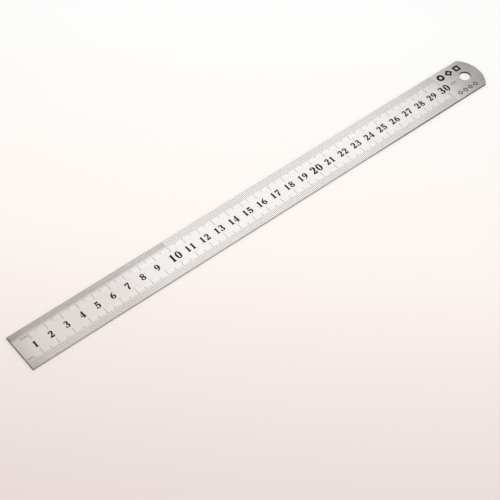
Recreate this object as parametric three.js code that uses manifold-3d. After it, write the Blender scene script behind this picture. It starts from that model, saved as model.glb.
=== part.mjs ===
// A 30 cm steel ruler: one flat steel strip with a square zero end and a round end with a hanging hole.
// The marks are shallow recesses etched into the top face, and each recess holds its own body of paint.
// Millimetres. X runs along the scale from the zero end to the round end, +Y towards the half-millimetre
// edge, +Z up out of the marked face. The origin is the centre of the bounding box's bottom face.
import * as THREE from 'three';
import { mergeVertices } from 'three/addons/utils/BufferGeometryUtils.js';
import Module from 'manifold-3d';

// ---- Driving dimensions -------------------------------------------------------------------------------

const LENGTH = 327.5; // zero end to the tip of the round end
const WIDTH = 25;
const THICKNESS = 1;
const END_RADIUS = 17.5; // arc across the whole round end
const ROUND_END_CORNER = 1; // fillet where the arc meets the long edges
const ZERO_END_CORNER = 0.3;
const HOLE_RADIUS = 3.5;
const HOLE_FROM_TIP = 10.2;

const ETCH_DEPTH = 0.1;
const PAINT_THICKNESS = 0.08; // the dried paint stands a little below the steel

const SCALE_LENGTH_CM = 30;
const CM = 10;
const NUMERAL_MID_Y = -0.2; // middle of the numerals, measured from the centre line of the strip
const NUMERAL_HEIGHT = 4.5;
const TENS_HEIGHT = 5.4; // 10, 20 and 30 are larger
const DIGIT_WIDTH = 0.64; // of a digit one unit tall
const COUNTER_LEAN = 0.3; // radians: how far the two counters of an 8 lean to the left
const STROKE_GAIN = 0.02; // of the numeral's height: how far the marking spreads past the drawn outlines
const SINGLE_PITCH = 9.78; // 1 to 9 are set a little closer than their lines, so they drift back from them
const SINGLE_START = -0.15;
const PAIR_TENS_OFFSET = -1.7; // digit centres of a two-digit number, from its centimetre line
const PAIR_UNITS_OFFSET = 1.65;
const LARGE_TENS_OFFSET = -2;
const LARGE_UNITS_OFFSET = 1.95;

// Plain ornaments past the 30: a row of three near the upper edge and a row of four near the lower edge.
// Each one's size comes first, and then that of the plain steel in its middle.
const RING_SIZES = [5, 2];
const DIAMOND_SIZES = [5.5, 2];
const SQUARE_SIZES = [4.2, 1.8];
const ORNAMENT_FIRST_X = 304.8;
const ORNAMENT_PITCH = 6.5;
const ORNAMENT_Y = 7.8;
const LOZENGE_SIZES = [3.7, 1.665];
const LOZENGE_COUNT = 4;
const LOZENGE_FIRST_X = 305.6;
const LOZENGE_PITCH = 4.1;
const LOZENGE_Y = -8.4;

const MAX_TURN = THREE.MathUtils.degToRad(17); // of one straight facet on a round stretch of a mark
const MARK_CIRCLE_SIDES = 28;
const LONGEST_MITRE = 1.6; // of a spread corner, in stroke gains
const END_ARC_SIDES = 24;
const CORNER_SIDES = 4;
const HOLE_SIDES = 40;

// ---- Materials ----------------------------------------------------------------------------------------

const steel = new THREE.MeshStandardMaterial({ color: 0xc9c6c2, roughness: 0.38, metalness: 1 });
const blackPaint = new THREE.MeshStandardMaterial({ color: 0x121214, roughness: 0.6, metalness: 0 });
const greyPaint = new THREE.MeshStandardMaterial({ color: 0x4a4647, roughness: 0.6, metalness: 0 });

// ---- Outlines -----------------------------------------------------------------------------------------

// A closed outline from a start point and curves: two numbers are a straight line's end, four are a
// quadratic curve's control and end points, and six are a cubic curve's two control points and end.
function outline(start, ...strokes) {
  const shape = new THREE.Shape();
  shape.moveTo(...start);
  for (const stroke of strokes) {
    if (stroke.length === 2) shape.lineTo(...stroke);
    else if (stroke.length === 4) shape.quadraticCurveTo(...stroke);
    else shape.bezierCurveTo(...stroke);
  }
  shape.closePath();
  return shape;
}

function oval(x, y, radiusX, radiusY, lean = 0) {
  return new THREE.Shape().absellipse(x, y, radiusX, radiusY, 0, 2 * Math.PI, false, lean);
}

// Three plain outlines round the origin: the lozenge stands on a corner, and the square on a side.
function circle(size) {
  return oval(0, 0, size / 2, size / 2);
}

function lozenge(size) {
  const r = size / 2;
  return outline([r, 0], [0, r], [-r, 0], [0, -r]);
}

function square(size) {
  const r = size / 2;
  return outline([r, -r], [r, r], [-r, r], [-r, -r]);
}

function withHoles(shape, ...holes) {
  shape.holes.push(...holes);
  return shape;
}

function hollow(draw, [size, middle]) {
  return withHoles(draw(size), draw(middle));
}

// The digits are bold, high-contrast serif figures. Each one is a unit tall and stands on y = 0, between
// x = 0 and x = DIGIT_WIDTH.
const digits = {
  0: () => withHoles(oval(0.32, 0.5, 0.31, 0.5), oval(0.32, 0.5, 0.115, 0.44)),
  1: () => outline(
    [0.13, 0],
    [0.53, 0],
    [0.53, 0.05],
    [0.44, 0.05, 0.44, 0.13],
    [0.44, 1],
    [0.37, 1],
    [0.28, 0.88, 0.14, 0.87],
    [0.14, 0.81],
    [0.22, 0.81],
    [0.22, 0.13],
    [0.22, 0.05, 0.13, 0.05],
  ),
  2: () => outline(
    [0.03, 0],
    [0.55, 0],
    [0.62, 0.29],
    [0.565, 0.29],
    [0.55, 0.22, 0.52, 0.195, 0.46, 0.195],
    [0.235, 0.195],
    [0.36, 0.32, 0.61, 0.46, 0.61, 0.72],
    [0.61, 0.9, 0.49, 1, 0.31, 1],
    [0.15, 1, 0.05, 0.92, 0.05, 0.8],
    [0.05, 0.73, 0.09, 0.68, 0.15, 0.68],
    [0.21, 0.68, 0.25, 0.715, 0.25, 0.77],
    [0.25, 0.82, 0.19, 0.84, 0.19, 0.885],
    [0.19, 0.925, 0.23, 0.945, 0.27, 0.945],
    [0.36, 0.945, 0.39, 0.86, 0.39, 0.73],
    [0.39, 0.48, 0.22, 0.32, 0.03, 0.1],
  ),
  3: () => outline(
    [0.31, 0],
    [0.49, 0, 0.63, 0.11, 0.63, 0.28],
    [0.63, 0.41, 0.54, 0.5, 0.42, 0.53],
    [0.5, 0.56, 0.57, 0.64, 0.57, 0.76],
    [0.57, 0.91, 0.47, 1, 0.32, 1],
    [0.18, 1, 0.08, 0.95, 0.08, 0.87],
    [0.08, 0.82, 0.11, 0.785, 0.15, 0.785],
    [0.195, 0.785, 0.22, 0.81, 0.22, 0.85],
    [0.22, 0.88, 0.185, 0.885, 0.185, 0.91],
    [0.185, 0.94, 0.22, 0.95, 0.26, 0.95],
    [0.33, 0.95, 0.36, 0.87, 0.36, 0.76],
    [0.36, 0.63, 0.31, 0.56, 0.2, 0.555],
    [0.2, 0.49],
    [0.33, 0.49, 0.42, 0.42, 0.42, 0.27],
    [0.42, 0.13, 0.36, 0.04, 0.25, 0.04],
    [0.2, 0.04, 0.175, 0.055, 0.175, 0.08],
    [0.175, 0.11, 0.22, 0.13, 0.22, 0.185],
    [0.22, 0.24, 0.18, 0.275, 0.125, 0.275],
    [0.06, 0.275, 0.01, 0.235, 0.01, 0.175],
    [0.01, 0.07, 0.15, 0, 0.31, 0],
  ),
  4: () => withHoles(
    outline(
      [0.24, 0],
      [0.61, 0],
      [0.61, 0.05],
      [0.53, 0.05, 0.53, 0.12],
      [0.53, 0.225],
      [0.64, 0.225],
      [0.64, 0.305],
      [0.53, 0.305],
      [0.53, 1],
      [0.38, 1],
      [0.01, 0.29],
      [0.01, 0.225],
      [0.32, 0.225],
      [0.32, 0.12],
      [0.32, 0.05, 0.24, 0.05],
    ),
    outline([0.085, 0.305], [0.32, 0.305], [0.32, 0.8]),
  ),
  5: () => outline(
    [0.29, 0],
    [0.49, 0, 0.63, 0.14, 0.63, 0.36],
    [0.63, 0.55, 0.52, 0.67, 0.36, 0.67],
    [0.27, 0.67, 0.2, 0.64, 0.155, 0.59],
    [0.155, 0.79],
    [0.45, 0.79],
    [0.54, 0.81, 0.58, 0.9, 0.6, 1],
    [0.1, 1],
    [0.1, 0.43],
    [0.155, 0.43],
    [0.19, 0.48, 0.23, 0.51, 0.28, 0.51],
    [0.37, 0.51, 0.42, 0.43, 0.42, 0.31],
    [0.42, 0.13, 0.36, 0.04, 0.24, 0.04],
    [0.19, 0.04, 0.165, 0.055, 0.165, 0.08],
    [0.165, 0.11, 0.22, 0.13, 0.22, 0.19],
    [0.22, 0.245, 0.18, 0.28, 0.125, 0.28],
    [0.055, 0.28, 0, 0.24, 0, 0.175],
    [0, 0.07, 0.13, 0, 0.29, 0],
  ),
  6: () => withHoles(
    outline(
      [0.33, 0],
      [0.51, 0, 0.63, 0.13, 0.63, 0.31],
      [0.63, 0.49, 0.54, 0.61, 0.4, 0.61],
      [0.33, 0.61, 0.28, 0.59, 0.24, 0.55],
      [0.28, 0.73, 0.39, 0.87, 0.55, 0.95],
      [0.525, 1],
      [0.22, 0.9, 0.01, 0.7, 0.01, 0.41],
      [0.01, 0.16, 0.14, 0, 0.33, 0],
    ),
    oval(0.33, 0.29, 0.1, 0.235),
  ),
  7: () => outline(
    [0.17, 0],
    [0.4, 0],
    [0.4, 0.3, 0.44, 0.52, 0.62, 0.88],
    [0.62, 1],
    [0.09, 1],
    [0.03, 0.68],
    [0.085, 0.68],
    [0.1, 0.77, 0.14, 0.81, 0.21, 0.81],
    [0.505, 0.81],
    [0.28, 0.52, 0.17, 0.28, 0.17, 0],
  ),
  8: () => withHoles(
    outline(
      [0.32, 0],
      [0.5, 0, 0.63, 0.11, 0.63, 0.27],
      [0.63, 0.4, 0.56, 0.48, 0.46, 0.53],
      [0.55, 0.58, 0.59, 0.66, 0.59, 0.75],
      [0.59, 0.9, 0.48, 1, 0.32, 1],
      [0.16, 1, 0.05, 0.9, 0.05, 0.75],
      [0.05, 0.66, 0.09, 0.58, 0.18, 0.53],
      [0.08, 0.48, 0.01, 0.4, 0.01, 0.27],
      [0.01, 0.11, 0.14, 0, 0.32, 0],
    ),
    oval(0.3, 0.255, 0.125, 0.19, COUNTER_LEAN),
    oval(0.345, 0.77, 0.105, 0.165, COUNTER_LEAN),
  ),
  9: () => halfTurn(digits[6]()),
};

// ---- From outlines to solids --------------------------------------------------------------------------

// The curve's points without its last one: straight lines give their start only, and round stretches a
// point for each MAX_TURN that they turn through.
function facets(curve) {
  if (curve.isEllipseCurve) return curve.getPoints(MARK_CIRCLE_SIDES).slice(0, -1);
  const turn = (a, b) => curve.getTangent(a).angleTo(curve.getTangent(b));
  const count = Math.max(1, Math.ceil((turn(0, 0.5) + turn(0.5, 1)) / MAX_TURN));
  return curve.getPoints(count).slice(0, -1);
}

function mapPoints(shape, move, gain = 0) {
  const points = (path, isHole) => {
    const moved = path.curves.flatMap(facets).map(move);
    return gain ? spread(moved, gain, isHole) : moved;
  };
  const moved = new THREE.Shape(points(shape, false)).closePath();
  moved.holes = shape.holes.map((hole) => new THREE.Path(points(hole, true)).closePath());
  return moved;
}

// The closed outline with its drawn strokes spread by a distance: an outer outline grows, and a hole shrinks.
function spread(points, distance, isHole) {
  const side = (THREE.ShapeUtils.area(points) > 0) === isHole ? -1 : 1;
  return points.map((here, i) => {
    const before = here.clone().sub(points.at(i - 1)).normalize();
    const after = points[(i + 1) % points.length].clone().sub(here).normalize();
    const outward = new THREE.Vector2(before.y + after.y, -before.x - after.x).normalize();
    const mitre = Math.min(LONGEST_MITRE, 1 / outward.dot(new THREE.Vector2(after.y, -after.x)));
    return outward.multiplyScalar(side * distance * mitre).add(here);
  });
}

function halfTurn(shape) {
  return mapPoints(shape, (p) => new THREE.Vector2(DIGIT_WIDTH - p.x, 1 - p.y));
}

function extrude(shape, bottomZ, topZ) {
  const solid = new THREE.ExtrudeGeometry(shape, { depth: topZ - bottomZ, bevelEnabled: false });
  return solid.translate(0, 0, bottomZ);
}

// Along the strip, x is measured from the zero end.
function fromZeroEnd(x) {
  return x - LENGTH / 2;
}

// ---- The marks: every etched recess and the paint in it ------------------------------------------------

function digitMark(name, digit, x, height) {
  const centreX = fromZeroEnd(x);
  const gain = STROKE_GAIN * height;
  const drawn = height - 2 * gain;
  const place = (p) => new THREE.Vector2(
    centreX + (p.x - DIGIT_WIDTH / 2) * drawn,
    NUMERAL_MID_Y + (p.y - 0.5) * drawn,
  );
  return { name, shape: mapPoints(digits[digit](), place, gain), paint: blackPaint };
}

function numeralMarks(number) {
  const name = `numeral_${String(number).padStart(2, '0')}`;
  if (number < 10) return [digitMark(name, number, SINGLE_START + SINGLE_PITCH * number, NUMERAL_HEIGHT)];
  const large = number % 10 === 0;
  const height = large ? TENS_HEIGHT : NUMERAL_HEIGHT;
  const line = number * CM;
  const tensX = line + (large ? LARGE_TENS_OFFSET : PAIR_TENS_OFFSET);
  const unitsX = line + (large ? LARGE_UNITS_OFFSET : PAIR_UNITS_OFFSET);
  return [
    digitMark(`${name}_tens`, Math.floor(number / 10), tensX, height),
    digitMark(`${name}_units`, number % 10, unitsX, height),
  ];
}

function plainMark(name, shape, x, y, paint) {
  const centreX = fromZeroEnd(x);
  return { name, shape: mapPoints(shape, (p) => new THREE.Vector2(centreX + p.x, y + p.y)), paint };
}

function ornamentMarks() {
  const shapes = {
    ring: hollow(circle, RING_SIZES),
    diamond: hollow(lozenge, DIAMOND_SIZES),
    square: hollow(square, SQUARE_SIZES),
  };
  return Object.entries(shapes).map(([kind, shape], i) => {
    const x = ORNAMENT_FIRST_X + ORNAMENT_PITCH * i;
    return plainMark(`ornament_${kind}`, shape, x, ORNAMENT_Y, blackPaint);
  });
}

function lozengeMarks() {
  return Array.from({ length: LOZENGE_COUNT }, (_, i) => {
    const x = LOZENGE_FIRST_X + LOZENGE_PITCH * i;
    return plainMark(`lozenge_${i + 1}`, hollow(lozenge, LOZENGE_SIZES), x, LOZENGE_Y, greyPaint);
  });
}

const numbers = Array.from({ length: SCALE_LENGTH_CM }, (_, i) => i + 1);
const marks = [...numbers.flatMap(numeralMarks), ...ornamentMarks(), ...lozengeMarks()];

// ---- The blade ----------------------------------------------------------------------------------------

// Counter-clockwise from the lower corner of the zero end. The round end is one arc with a fillet at each
// end that touches both the arc and the long edge.
function bladeOutline() {
  const right = Math.PI / 2;
  const half = WIDTH / 2;
  const zeroX = -LENGTH / 2;
  const arcX = LENGTH / 2 - END_RADIUS;
  const filletY = half - ROUND_END_CORNER;
  const filletX = arcX + Math.sqrt((END_RADIUS - ROUND_END_CORNER) ** 2 - filletY ** 2);
  const meet = Math.atan2(filletY, filletX - arcX);
  const arc = (x, y, radius, from, to, sides) =>
    new THREE.EllipseCurve(x, y, radius, radius, from, to, false).getPoints(sides);
  const cornerX = zeroX + ZERO_END_CORNER;
  const cornerY = half - ZERO_END_CORNER;
  const shape = new THREE.Shape([
    ...arc(cornerX, -cornerY, ZERO_END_CORNER, -2 * right, -right, CORNER_SIDES),
    ...arc(filletX, -filletY, ROUND_END_CORNER, -right, -meet, CORNER_SIDES),
    ...arc(arcX, 0, END_RADIUS, -meet, meet, END_ARC_SIDES).slice(1, -1),
    ...arc(filletX, filletY, ROUND_END_CORNER, meet, right, CORNER_SIDES),
    ...arc(cornerX, cornerY, ZERO_END_CORNER, right, 2 * right, CORNER_SIDES),
  ]);
  const holeX = LENGTH / 2 - HOLE_FROM_TIP;
  shape.holes.push(new THREE.Path(arc(holeX, 0, HOLE_RADIUS, 0, 4 * right, HOLE_SIDES).slice(0, -1)));
  return shape;
}

const wasm = await Module();
wasm.setup();

function toManifold(geometry) {
  geometry.deleteAttribute('normal');
  geometry.deleteAttribute('uv');
  const merged = mergeVertices(geometry);
  return new wasm.Manifold(new wasm.Mesh({
    numProp: 3,
    vertProperties: new Float32Array(merged.attributes.position.array),
    triVerts: new Uint32Array(merged.index.array),
  }));
}

function toGeometry(solid) {
  const mesh = solid.getMesh();
  const geometry = new THREE.BufferGeometry();
  geometry.setAttribute('position', new THREE.BufferAttribute(mesh.vertProperties, mesh.numProp));
  geometry.setIndex(new THREE.BufferAttribute(mesh.triVerts, 1));
  geometry.computeVertexNormals();
  return geometry;
}

function etchedBlade() {
  let blade = toManifold(extrude(bladeOutline(), 0, THICKNESS));
  for (const { shape } of marks) {
    blade = blade.subtract(toManifold(extrude(shape, THICKNESS - ETCH_DEPTH, THICKNESS + ETCH_DEPTH)));
  }
  return toGeometry(blade);
}

// ---- The assembly -------------------------------------------------------------------------------------

function namedMesh(name, geometry, material) {
  const mesh = new THREE.Mesh(geometry, material);
  mesh.name = name;
  return mesh;
}

const ruler = new THREE.Group();
ruler.add(namedMesh('blade', etchedBlade(), steel));
for (const { name, shape, paint } of marks) {
  const floor = THICKNESS - ETCH_DEPTH;
  ruler.add(namedMesh(name, extrude(shape, floor, floor + PAINT_THICKNESS), paint));
}

export default ruler;
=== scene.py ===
"""The looks of a 30 cm steel ruler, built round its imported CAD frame. Everything here is in metres.

The blade is rebuilt with its broken edges and with a recess for every mark. The paint in the numerals and
ornaments stays as the CAD nodes, and the paint in the graduation lines and unit labels is added here.
"""

import math

import bmesh
import bpy
from mathutils import Matrix, Vector
from mathutils.geometry import delaunay_2d_cdt


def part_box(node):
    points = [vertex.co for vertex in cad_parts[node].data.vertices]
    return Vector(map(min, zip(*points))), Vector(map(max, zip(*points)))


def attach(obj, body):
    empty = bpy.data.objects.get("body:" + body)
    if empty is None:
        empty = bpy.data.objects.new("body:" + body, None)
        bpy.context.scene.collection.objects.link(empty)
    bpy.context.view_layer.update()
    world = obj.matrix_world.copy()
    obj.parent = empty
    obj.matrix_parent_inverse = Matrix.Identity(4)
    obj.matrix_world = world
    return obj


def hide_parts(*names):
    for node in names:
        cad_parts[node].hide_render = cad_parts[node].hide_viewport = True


MM = 0.001

# ---- Driving dimensions --------------------------------------------------------------------------------

END_RADIUS = 17.5 * MM
ROUND_END_CORNER = 1 * MM
ZERO_END_CORNER = 0.3 * MM
HOLE_RADIUS = 3.5 * MM
HOLE_FROM_TIP = 10.2 * MM
EDGE_ROUNDING = 0.12 * MM  # the broken edge round the outline and the hole
# The zero end's broken edge reaches further in so that the sheared steel's near-black painted shade on it
# widens the dark line along that end.
ZERO_END_ROUNDING = 0.24 * MM  # how far in the zero end's broken edge reaches

NUMERAL_DEPTH = 0.1 * MM  # of the recesses of the numerals and ornaments
NUMERAL_WALL = 0.06 * MM  # how far an etched wall leans in on its way down
FINE_DEPTH = 0.05 * MM
FINE_WALL = 0.03 * MM
FINE_PAINT_DROP = 0.01 * MM  # from the steel down to the paint

SCALE_END = 300  # millimetres of scale
HALF_MM_END = 100  # millimetres: the upper edge is in half millimetres this far
HALVES_IN_CM = 20
LINE_WIDTH = 0.185 * MM
LINE_START = 0.15 * MM  # from the edge
HALF_MM_LINE = 3.6 * MM
MM_LINE = 4.8 * MM
FIVE_MM_LINE = 6.5 * MM
CM_LINE = 8.8 * MM

# Unit labels, in millimetres: the word, where it starts from the zero end and from the centre line, and the
# height of its letters.
UNIT_LABELS = ("mm", 5.6, 6.1, 1.2), ("mm", 1.1, -6.7, 1.1), ("cm", 306, -0.9, 1.6)
LETTER_STEM = 0.2  # of a letter one unit tall, as are the next two
M_PITCH = 0.56  # from one stem of an m to the next
ADVANCES = {"c": 1.15, "m": 1.6}  # from where one letter starts to where the next one does
C_OPENING = 40  # degrees, to each side of the middle

ARC_STEPS = 8  # of a small arc
LONG_ARC_STEPS = 96
EDGE_STEPS = 3  # round a broken edge
LONGEST_MITRE = 2  # of an inset corner, in insets

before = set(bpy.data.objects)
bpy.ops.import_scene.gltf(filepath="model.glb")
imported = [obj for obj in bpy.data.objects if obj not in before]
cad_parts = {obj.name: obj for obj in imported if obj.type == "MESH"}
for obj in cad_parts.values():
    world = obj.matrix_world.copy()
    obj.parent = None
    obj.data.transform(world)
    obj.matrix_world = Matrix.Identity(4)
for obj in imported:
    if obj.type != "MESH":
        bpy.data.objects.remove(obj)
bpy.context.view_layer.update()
blade_low, blade_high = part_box("blade")
TOP = blade_high.z
FILLS = sorted(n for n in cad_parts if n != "blade")  # the CAD's paint fills


# ---- Loops: closed lists of (x, y) points with the recess or the steel on their left ---------------------


def arc(x, y, radius, start, end, steps):
    """Points round a centre, from one angle to another."""
    angles = [start + (end - start) * i / steps for i in range(steps + 1)]
    return [Vector((x + radius * math.cos(a), y + radius * math.sin(a))) for a in angles]


def blade_loop(inset):
    """The outline, moved inwards by inset: one arc across the round end, and a small arc at each corner.

    The zero end moves further in than the rest.
    """
    quarter = math.pi / 2
    right, half = blade_high.x, blade_high.y
    arc_x = right - END_RADIUS
    fillet_y = half - ROUND_END_CORNER
    fillet_x = arc_x + math.sqrt((END_RADIUS - ROUND_END_CORNER) ** 2 - fillet_y**2)
    meet = math.atan2(fillet_y, fillet_x - arc_x)
    corner_x = blade_low.x + ZERO_END_CORNER + inset * (ZERO_END_ROUNDING / EDGE_ROUNDING - 1)
    corner_y = half - ZERO_END_CORNER
    zero_corner = ZERO_END_CORNER - inset
    end_corner = ROUND_END_CORNER - inset
    return [
        *arc(corner_x, -corner_y, zero_corner, -2 * quarter, -quarter, ARC_STEPS),
        *arc(fillet_x, -fillet_y, end_corner, -quarter, -meet, ARC_STEPS),
        *arc(arc_x, 0, END_RADIUS - inset, -meet, meet, LONG_ARC_STEPS)[1:-1],
        *arc(fillet_x, fillet_y, end_corner, meet, quarter, ARC_STEPS),
        *arc(corner_x, corner_y, zero_corner, quarter, 2 * quarter, ARC_STEPS),
    ]


def hole_loop(inset):
    """The hanging hole, clockwise, so that the steel is on its left; inset moves it into the steel."""
    return arc(blade_high.x - HOLE_FROM_TIP, 0, HOLE_RADIUS + inset, 2 * math.pi, 0, LONG_ARC_STEPS)[:-1]


def rectangle(low_x, low_y, high_x, high_y):
    corners = [(low_x, low_y), (high_x, low_y), (high_x, high_y), (low_x, high_y)]
    return [Vector(c) for c in corners]


def inset_loop(loop, distance):
    """The loop moved to its left, with its corners kept sharp."""
    moved = []
    for i, here in enumerate(loop):
        before = (here - loop[i - 1]).normalized()
        after = (loop[(i + 1) % len(loop)] - here).normalized()
        left = Vector((-before.y - after.y, before.x + after.x))
        middle = left.normalized()
        squareness = middle.dot(Vector((-after.y, after.x)))
        moved.append(here + middle * distance / max(1 / LONGEST_MITRE, squareness))
    return moved


def cap_loops(node):
    """The outline of a CAD paint fill and of each island of steel in it: the borders of its top face."""
    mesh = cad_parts[node].data
    mid_height = sum(corner.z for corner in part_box(node)) / 2
    sides = set()
    for face in mesh.polygons:
        corners = [mesh.vertices[i].co for i in face.vertices]
        if all(corner.z > mid_height for corner in corners):
            points = [tuple(corner.xy) for corner in corners]
            sides.update(zip(points, points[1:] + points[:1]))
    following = {a: b for a, b in sides if (b, a) not in sides}
    loops = []
    while following:
        start, point = following.popitem()
        loop = [Vector(start)]
        while point != start:
            loop.append(Vector(point))
            point = following.pop(point)
        loops.append(loop)
    return loops


# ---- The fine marks: graduation lines and unit labels ----------------------------------------------------


def line_length(half_mm):
    """The length of the line that many half millimetres along the scale."""
    if half_mm % 2:
        return HALF_MM_LINE
    if half_mm % HALVES_IN_CM == 0:
        return CM_LINE
    return MM_LINE if half_mm % (HALVES_IN_CM // 2) else FIVE_MM_LINE


def graduation(half_mm, edge):
    """One line from the lower edge, where edge is -1, or from the upper one, where it is 1."""
    x = blade_low.x + half_mm / 2 * MM
    ends = sorted(edge * (blade_high.y - d) for d in (LINE_START, line_length(half_mm)))
    return rectangle(x - LINE_WIDTH / 2, ends[0], x + LINE_WIDTH / 2, ends[1])


def letter_c():
    """An open ring, one unit across."""
    opening = math.radians(C_OPENING)
    rest = 2 * math.pi - opening
    outer = arc(0.5, 0.5, 0.5, opening, rest, 3 * ARC_STEPS)
    return outer + arc(0.5, 0.5, 0.5 - LETTER_STEM, rest, opening, 3 * ARC_STEPS)


def letter_m():
    """Three stems joined by two round arches."""
    outer_radius = (M_PITCH + LETTER_STEM) / 2
    inner_radius = (M_PITCH - LETTER_STEM) / 2
    spring = 1 - outer_radius
    points = [Vector((0, 0)), Vector((LETTER_STEM, 0))]
    for i in range(2):
        middle = LETTER_STEM + inner_radius + M_PITCH * i
        points += arc(middle, spring, inner_radius, math.pi, 0, ARC_STEPS)
        points += [Vector((middle + inner_radius, 0)), Vector((middle + outer_radius, 0))]
    crossing = math.acos(M_PITCH / 2 / outer_radius)
    points += arc(middle, spring, outer_radius, 0, math.pi - crossing, ARC_STEPS)
    points += arc(middle - M_PITCH, spring, outer_radius, crossing, math.pi / 2, ARC_STEPS)[1:]
    points += [Vector((0, 1))]
    return points


def word_loops(word, x, y, height):
    """The letters of a unit, from x along the scale and y from the centre line, lying from left to right."""
    loops = []
    for letter in word:
        shape = {"c": letter_c, "m": letter_m}[letter]()
        loops.append([Vector((blade_low.x + x, y)) + p * height for p in shape])
        x += ADVANCES[letter] * height
    return loops


lower_lines = [graduation(2 * i, -1) for i in range(1, SCALE_END + 1)]
upper_lines = [graduation(i, 1) for i in range(1, 2 * SCALE_END + 1) if i < 2 * HALF_MM_END or i % 2 == 0]
unit_labels = [loop for word, *place in UNIT_LABELS for loop in word_loops(word, *(v * MM for v in place))]


# ---- The blade -------------------------------------------------------------------------------------------


class Builder:
    """Collects the points and faces of one mesh."""

    def __init__(self):
        self.points = []
        self.faces = []

    def ring(self, loop, z):
        """Adds the points of a loop at a height, and gives their numbers."""
        first = len(self.points)
        self.points += [(p.x, p.y, z) for p in loop]
        return list(range(first, len(self.points)))

    def band(self, lower, upper):
        """Quads between two rings that have the same number of points."""
        for i in range(len(lower)):
            j = (i + 1) % len(lower)
            self.faces.append((lower[i], lower[j], upper[j], upper[i]))

    def object(self, name, *materials):
        """The mesh as an object with its faces pointing out."""
        mesh = bpy.data.meshes.new(name)
        mesh.from_pydata(self.points, [], self.faces)
        shape = bmesh.new()
        shape.from_mesh(mesh)
        bmesh.ops.recalc_face_normals(shape, faces=shape.faces)
        shape.to_mesh(mesh)
        shape.free()
        for material in materials:
            mesh.materials.append(material)
        made = bpy.data.objects.new(name, mesh)
        bpy.context.scene.collection.objects.link(made)
        return made


def turns_left(loop):
    """Whether the loop runs counter-clockwise, round what it holds."""
    return sum(a.cross(b) for a, b in zip(loop, loop[1:] + loop[:1])) > 0


def triangulate(loops):
    """Triangles over loops that don't cross, each with the set of loops that it is inside.

    The points are in millimetres here, to suit the tolerance, and the loops are all made counter-clockwise.
    """
    inside_only, tolerance = 1, 1e-6
    points = [p / MM for loop in loops for p in loop]
    faces, first = [], 0
    for loop in loops:
        indices = list(range(first, first + len(loop)))
        faces.append(indices if turns_left(loop) else indices[::-1])
        first += len(loop)
    found = delaunay_2d_cdt(points, [], faces, inside_only, tolerance)
    corners, _, triangles, corner_ids, _, holders = found
    assert len(corners) == len(points), "two marks cross"
    source = [ids[0] for ids in corner_ids]
    return [([source[i] for i in t], set(ids)) for t, ids in zip(triangles, holders)]


def edge_profile():
    """The strip's side from the top face down to the underside: how far in each ring is, and its height."""
    angles = [math.pi / 2 * i / EDGE_STEPS for i in range(EDGE_STEPS + 1)]
    broken = [(EDGE_ROUNDING * (1 - math.sin(a)), EDGE_ROUNDING * (1 - math.cos(a))) for a in angles]
    upper = [(inset, TOP - drop) for inset, drop in broken]
    return upper + [(inset, blade_low.z + drop) for inset, drop in reversed(broken)]


def blade_mesh():
    """The strip with its hole, and a recess for every mark."""
    build = Builder()
    top, bottom = [], []
    for make_loop in (blade_loop, hole_loop):
        rings = [build.ring(make_loop(inset), z) for inset, z in edge_profile()]
        for upper, lower in zip(rings, rings[1:]):
            build.band(lower, upper)
        top += rings[0]
        bottom += rings[-1]

    top_loops = [blade_loop(EDGE_ROUNDING), hole_loop(EDGE_ROUNDING)]
    hole = 1  # its place in top_loops
    for triangle, holders in triangulate(top_loops):
        if hole not in holders:
            build.faces.append([bottom[i] for i in reversed(triangle)])

    recesses = [(loop, NUMERAL_DEPTH, NUMERAL_WALL) for node in FILLS for loop in cap_loops(node)]
    recesses += [(loop, FINE_DEPTH, FINE_WALL) for loop in lower_lines + upper_lines + unit_labels]
    floor = [None] * len(top)
    floor_loops, island_loops = set(), set()
    for loop, depth, lean in recesses:
        (floor_loops if turns_left(loop) else island_loops).add(len(top_loops))
        upper = build.ring(loop, TOP)
        lower = build.ring(inset_loop(loop, lean), TOP - depth)
        build.band(upper, lower)
        top_loops.append(loop)
        top += upper
        floor += lower
    for triangle, holders in triangulate(top_loops):
        if hole not in holders:
            sunk = holders & floor_loops and not holders & island_loops
            build.faces.append([(floor if sunk else top)[i] for i in triangle])
    return build


def paint_mesh(loops):
    """The paint in fine recesses: one closed slab in each, its sides against the leaning walls."""
    build = Builder()
    lean_to_paint = FINE_WALL * FINE_PAINT_DROP / FINE_DEPTH
    for loop in loops:
        top = build.ring(inset_loop(loop, lean_to_paint), TOP - FINE_PAINT_DROP)
        bottom = build.ring(inset_loop(loop, FINE_WALL), TOP - FINE_DEPTH)
        build.band(bottom, top)
        build.faces += [top, bottom[::-1]]
    return build


# ---- Materials -------------------------------------------------------------------------------------------

# Noise, in features per metre along X, Y and Z.
GRAIN = 60, 9000, 9000
STREAKS = 12, 1400, 1400
SCRATCHES = 16, 1500, 1500
BLOTCHES = 35, 60, 60
SHEAR_LINES = 2500, 2500, 300
MOTTLE = 900, 900, 900
PATCHES = 90, 90, 90
NOISE_RANGE = 0.3, 0.7  # nearly all of a noise's values
SCRATCH_RANGE = 0.71, 0.76  # the peaks that are scratches

# Each finish has a dark and a light tone.
SATIN_TONES = (0.76, 0.75, 0.735), (0.85, 0.845, 0.835)
SCRATCH_TONE = 0.88, 0.875, 0.87
# The ground tones are painted shade on the long edges, lighter in the middle tone than in the outer one.
GROUND_OUTER_SHADE = (0.05, 0.048, 0.046), (0.11, 0.106, 0.102)
GROUND_MIDDLE_SHADE = (0.34, 0.332, 0.325), (0.58, 0.57, 0.56)
# The sheared tones are painted shade, near black: the ends, the walls of the hole and recesses and the rest
# of the edges are darkened to stand in for shade and the shadows at their feet.
SHEARED_SHADE_TONES = (0.012, 0.0115, 0.011), (0.04, 0.038, 0.037)
BLACK_TONES = (0.006, 0.006, 0.0065), (0.018, 0.018, 0.019)
GREY_TONES = (0.09, 0.086, 0.084), (0.16, 0.155, 0.15)

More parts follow.
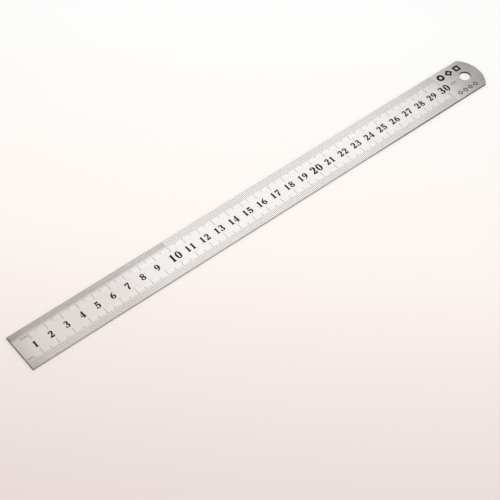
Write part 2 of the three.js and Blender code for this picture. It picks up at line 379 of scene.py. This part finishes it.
SATIN_ROUGHNESS = 0.13, 0.19
STREAK_ROUGHNESS = -0.03, 0.04  # added to that of the satin
EDGE_ROUGHNESS = 0.42, 0.6
PAINT_ROUGHNESS = 0.45, 0.62

SATIN_RELIEF = 0.001 * MM
SCRATCH_RELIEF = -0.8  # of the satin's relief
EDGE_RELIEF = 0.01 * MM
PAINT_RELIEF = 0.008 * MM

# The long edges' painted shade is lightest round the middle and darkest towards the ends.
LIGHTER_EDGE_MIDDLE = -46 * MM  # the long edges are brightest round here, on the X axis,
LIGHTER_EDGE_INNER = 95 * MM  # as far as this to either side,
LIGHTER_EDGE_OUTER = 155 * MM  # and dull past this


def direction(heading, elevation):
    """The unit vector that many degrees round from +X, and that many up."""
    heading, elevation = math.radians(heading), math.radians(elevation)
    flat = math.cos(elevation)
    return Vector((flat * math.cos(heading), flat * math.sin(heading), math.sin(elevation)))


class Nodes:
    """The node tree of a new material or world, with short ways to add and join its nodes."""

    def __init__(self, owner, shader, coordinates):
        owner.use_nodes = True
        self.owner = owner
        self.tree = owner.node_tree
        self.shader = self.tree.nodes[shader]
        self.place = self.add("ShaderNodeTexCoord").outputs[coordinates]

    def add(self, kind, **settings):
        node = self.tree.nodes.new(kind)
        for key, value in settings.items():
            setattr(node, key, value)
        return node

    def join(self, value, socket):
        """Sets the socket to a number or a colour, or links a node's output to it."""
        if isinstance(value, tuple):
            socket.default_value = (*value, 1)
        elif isinstance(value, (int, float)):
            socket.default_value = value
        else:
            self.tree.links.new(value, socket)

    def set(self, **values):
        """Joins values to the shader's sockets, named with underscores for spaces."""
        for name, value in values.items():
            self.join(value, self.shader.inputs[name.replace("_", " ")])

    def noise(self, stretch, detail=3, roughness=0.5):
        """Noise with that many features per metre along each axis."""
        mapping = self.add("ShaderNodeMapping")
        mapping.inputs["Scale"].default_value = stretch
        self.join(self.place, mapping.inputs["Vector"])
        texture = self.add("ShaderNodeTexNoise")
        texture.inputs["Scale"].default_value = 1
        texture.inputs["Detail"].default_value = detail
        texture.inputs["Roughness"].default_value = roughness
        self.join(mapping.outputs["Vector"], texture.inputs["Vector"])
        return texture.outputs["Fac"]

    def ramp(self, value, low, high, start, end, interpolation="LINEAR"):
        """value from low to high becomes start to end."""
        node = self.add("ShaderNodeMapRange", interpolation_type=interpolation)
        sockets = ("Value", "From Min", "From Max", "To Min", "To Max")
        for socket, number in zip(sockets, (value, low, high, start, end)):
            self.join(number, node.inputs[socket])
        return node.outputs["Result"]

    def vary(self, noise, start, end):
        """A noise as a number that varies from start to end."""
        return self.ramp(noise, *NOISE_RANGE, start, end)

    def mix(self, factor, dark, light):
        """A colour between dark and light; either may be a colour or a node's output."""
        node = self.add("ShaderNodeMix", data_type="RGBA")
        dark_socket, light_socket = node.inputs[6:8]  # the rest mix numbers and vectors
        self.join(factor, node.inputs["Factor"])
        self.join(dark, dark_socket)
        self.join(light, light_socket)
        return node.outputs[2]

    def dot(self, vector):
        """How far each place is along a vector from the origin."""
        node = self.add("ShaderNodeVectorMath", operation="DOT_PRODUCT")
        node.inputs[1].default_value = vector
        self.join(self.place, node.inputs[0])
        return node.outputs["Value"]

    def calculate(self, operation, first, second=0.0):
        node = self.add("ShaderNodeMath", operation=operation)
        self.join(first, node.inputs[0])
        self.join(second, node.inputs[1])
        return node.outputs[0]

    def add_up(self, first, second):
        return self.calculate("ADD", first, second)

    def bump(self, height, distance):
        node = self.add("ShaderNodeBump")
        self.join(1.0, node.inputs["Strength"])
        self.join(distance, node.inputs["Distance"])
        self.join(height, node.inputs["Height"])
        self.set(Normal=node.outputs["Normal"])


def material_nodes(name):
    return Nodes(bpy.data.materials.new(name), "Principled BSDF", "Object")


def steel_face():
    """Satin stainless steel: fine grain along the scale, faint blotches and a few scratches."""
    nodes = material_nodes("satin_steel")
    grain = nodes.noise(GRAIN, detail=4, roughness=0.6)
    streaks = nodes.noise(STREAKS, detail=2)
    blotches = nodes.noise(BLOTCHES)
    scratches = nodes.ramp(nodes.noise(SCRATCHES, detail=1, roughness=0.3), *SCRATCH_RANGE, 0, 1)
    tone = nodes.add_up(nodes.vary(grain, 0, 0.5), nodes.vary(streaks, 0, 0.5))
    rough = nodes.add_up(nodes.vary(blotches, *SATIN_ROUGHNESS), nodes.vary(streaks, *STREAK_ROUGHNESS))
    colour = nodes.mix(scratches, nodes.mix(tone, *SATIN_TONES), SCRATCH_TONE)
    nodes.set(Base_Color=colour, Roughness=rough, Metallic=1)
    nodes.bump(nodes.add_up(grain, nodes.ramp(scratches, 0, 1, 0, SCRATCH_RELIEF)), SATIN_RELIEF)
    return nodes.owner


def steel_edge(name, dull, bright):
    """Steel with lines across the thickness; its tones are painted shade, lighter round a middle on the X
    axis and darker past that.
    """
    nodes = material_nodes(name)
    shear = nodes.noise(SHEAR_LINES)
    away = nodes.calculate("ABSOLUTE", nodes.calculate("SUBTRACT", nodes.dot((1, 0, 0)), LIGHTER_EDGE_MIDDLE))
    lighter_middle = nodes.ramp(away, LIGHTER_EDGE_INNER, LIGHTER_EDGE_OUTER, 1, 0, "SMOOTHSTEP")
    colour = nodes.mix(lighter_middle, nodes.mix(shear, *dull), nodes.mix(shear, *bright))
    nodes.set(Base_Color=colour, Roughness=nodes.vary(shear, *EDGE_ROUGHNESS), Metallic=1)
    nodes.bump(shear, EDGE_RELIEF)
    return nodes.owner


def marking_paint(name, tones):
    """Dried paint, slightly worn: mottled in tone and in gloss."""
    nodes = material_nodes(name)
    mottle = nodes.noise(MOTTLE, detail=4)
    rough = nodes.vary(nodes.noise(PATCHES, detail=2), *PAINT_ROUGHNESS)
    nodes.set(Base_Color=nodes.mix(mottle, *tones), Roughness=rough, Specular_IOR_Level=0.12)
    nodes.bump(mottle, PAINT_RELIEF)
    return nodes.owner


# ---- The pieces ------------------------------------------------------------------------------------------

# The broken edges' facets count as edge steel, so they take its painted shade and catch no highlights.
EDGE_STEEL_TILT = 0.995  # a face whose normal is less upright than this is edge steel or a wall,
FLAT_TILT = 0.9999  # and less than this, it is shaded as part of something round
ROUNDED_CREASE = 25  # degrees: the sharpest crease that is shaded as round
LONG_SIDE_FROM = 0.999  # of the strip's half width
LONG_SIDE_TURN = 0.02  # how far a long side's normal may turn along the scale
SATIN_SLOT, GROUND_SHADE_SLOT, SHEARED_SHADE_SLOT = range(3)


def steel_slot(face):
    """The finish of one of the blade's faces. A face that is not level takes edge steel with painted shade
    in its tones: ground steel on the long sides, sheared steel on the rest, such as the ends and the walls
    of the hole and recesses.
    """
    if abs(face.normal.z) >= EDGE_STEEL_TILT:
        return SATIN_SLOT
    outermost = abs(face.center.y) > LONG_SIDE_FROM * blade_high.y
    return GROUND_SHADE_SLOT if outermost and abs(face.normal.x) < LONG_SIDE_TURN else SHEARED_SHADE_SLOT


def add_blade():
    ground = steel_edge("ground_steel_painted_shade", GROUND_OUTER_SHADE, GROUND_MIDDLE_SHADE)
    sheared = steel_edge("sheared_steel_painted_shade", SHEARED_SHADE_TONES, SHEARED_SHADE_TONES)
    blade = blade_mesh().object("steel_blade", steel_face(), ground, sheared)
    blade.data.set_sharp_from_angle(angle=math.radians(ROUNDED_CREASE))
    for face in blade.data.polygons:
        face.use_smooth = abs(face.normal.z) < FLAT_TILT
        face.material_index = steel_slot(face)
    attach(blade, "root")
    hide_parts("blade")


def add_paint():
    """The paint in the fine marks, and the looks of the CAD's paint fills."""
    black = marking_paint("black_marking_paint", BLACK_TONES)
    grey = marking_paint("grey_marking_paint", GREY_TONES)
    for name, loops, material, slot in (
        ("lower_graduations", lower_lines, black, "black_paint"),
        ("upper_graduations", upper_lines, black, "black_paint"),
        ("unit_labels", unit_labels, grey, "grey_paint"),
    ):
        piece = paint_mesh(loops).object(name, material)
        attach(piece, "root")
    for name in FILLS:
        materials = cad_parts[name].data.materials
        materials.clear()
        materials.append(grey if name.startswith("lozenge") else black)


# ---- The stage -------------------------------------------------------------------------------------------

CAMERA_AIM = Vector((-29.74 * MM, -21.9 * MM, TOP))
CAMERA_DISTANCE = 766.5 * MM
CAMERA_HEADING, CAMERA_ELEVATION, CAMERA_ROLL = 50.72, -51.94, 0.27  # degrees: the way it looks
CAMERA_LENS = 102.1

KEY_LIGHT = direction(228, 60) * 1.1  # in front of the blade, clear of what it mirrors to the camera
KEY_SIZE = 0.35
KEY_POWER = 3.9
KEY_COLOUR = 1, 0.97, 0.955

# Level panels that the blade mirrors to the camera: middle, length, width, watts and colour. The first one
# lights the whole blade, the second all but its zero end, and the third its middle.
SOFTBOXES = (
    ((0.2222, 0.283, 0.44), 0.527, 0.4, 0.357, (1, 0.955, 0.93)),
    ((0.2785, 0.27, 0.42), 0.4, 0.3, 0.09, (0.72, 0.87, 0.91)),
    ((0.2159, 0.257, 0.4), 0.291, 0.28, 0.0105, (0.72, 0.87, 0.91)),
)

HORIZON_GLOW = (0.5, 0.483, 0.476)
CEILING_GLOW = (0.86, 0.835, 0.823)
CEILING_FROM = 0.6  # height on the unit sphere where the ceiling's glow is reached
# Darker parts of the ceiling, in degrees: heading, elevation, and how far from there each is whole and gone.
DIM_ZONES = (
    (49, 48, 20, 42, (0.42, 0.378, 0.367)),
    (34, 41.5, 2, 8, (0.25, 0.23, 0.22)),
)

TABLE_HEADING = 45  # degrees: the table pales in this direction, as painted light
TABLE_LIGHT_FALLOFF_TONES = (0.725, 0.655, 0.64), (0.92, 0.885, 0.855), (0.925, 0.955, 0.955)
TABLE_NEAR = -0.24, 0  # metres along that heading: the first tone turns to the second,
TABLE_FAR = -0.08, 0.16  # and the second to the third
TABLE_HALF = 4


def look(position, target, roll=0.0):
    """A matrix at position whose -Z axis points at target, with its X axis level before the roll."""
    back = (position - target).normalized()
    right = Vector((0, 0, 1)).cross(back).normalized()
    turn = Matrix((right, back.cross(right), back)).transposed().to_4x4()
    return Matrix.Translation(position) @ turn @ Matrix.Rotation(roll, 4, "Z")


def add_camera():
    camera = bpy.data.objects.new("camera", bpy.data.cameras.new("camera"))
    camera.data.lens = CAMERA_LENS
    camera.data.clip_start = 10 * MM
    position = CAMERA_AIM - direction(CAMERA_HEADING, CAMERA_ELEVATION) * CAMERA_DISTANCE
    camera.matrix_world = look(position, CAMERA_AIM, math.radians(CAMERA_ROLL))
    bpy.context.scene.collection.objects.link(camera)
    bpy.context.scene.camera = camera


def add_panel(name, place, length, width, power, colour):
    """A soft rectangular light at a position or a matrix. Left as it is, it shines straight down."""
    light = bpy.data.lights.new(name, "AREA")
    light.shape = "RECTANGLE"
    light.size, light.size_y = length, width
    light.energy = power
    light.color = colour
    lamp = bpy.data.objects.new(name, light)
    lamp.matrix_world = place if isinstance(place, Matrix) else Matrix.Translation(place)
    bpy.context.scene.collection.objects.link(lamp)


def add_lights():
    add_panel("key_light", look(KEY_LIGHT, Vector((0, 0, 0))), KEY_SIZE, KEY_SIZE, KEY_POWER, KEY_COLOUR)
    for i, (middle, *panel) in enumerate(SOFTBOXES):
        add_panel(f"softbox_{i}", middle, *panel)


# The table is darker and pinker on one side and pales along TABLE_HEADING: painted light, standing in for
# lamps lighting it more in that direction.
def add_floor():
    nodes = material_nodes("table_painted_light_falloff")
    across = nodes.dot(direction(TABLE_HEADING, 0))
    first, second, third = TABLE_LIGHT_FALLOFF_TONES
    near = nodes.mix(nodes.ramp(across, *TABLE_NEAR, 0, 1, "SMOOTHSTEP"), first, second)
    tone = nodes.mix(nodes.ramp(across, *TABLE_FAR, 0, 1, "SMOOTHSTEP"), near, third)
    nodes.set(Base_Color=tone, Roughness=0.9, Specular_IOR_Level=0.1)
    build = Builder()
    build.faces.append(build.ring(rectangle(-TABLE_HALF, -TABLE_HALF, TABLE_HALF, TABLE_HALF), 0))
    build.object("floor", nodes.owner)


def add_world():
    """A pale studio that is brighter overhead, with the dim zones that the blade mirrors."""
    nodes = Nodes(bpy.data.worlds.new("studio"), "Background", "Generated")
    rise = nodes.ramp(nodes.dot((0, 0, 1)), 0, CEILING_FROM, 0, 1, "SMOOTHSTEP")
    glow = nodes.mix(rise, HORIZON_GLOW, CEILING_GLOW)
    for heading, elevation, inner, outer, dim_glow in DIM_ZONES:
        edge, whole = (math.cos(math.radians(angle)) for angle in (outer, inner))
        dimness = nodes.ramp(nodes.dot(direction(heading, elevation)), edge, whole, 0, 1, "SMOOTHSTEP")
        glow = nodes.mix(dimness, glow, dim_glow)
    nodes.set(Color=glow)
    bpy.context.scene.world = nodes.owner


add_blade()
add_paint()
add_floor()
add_world()
add_lights()
add_camera()
bpy.context.scene.view_settings.view_transform = "Standard"
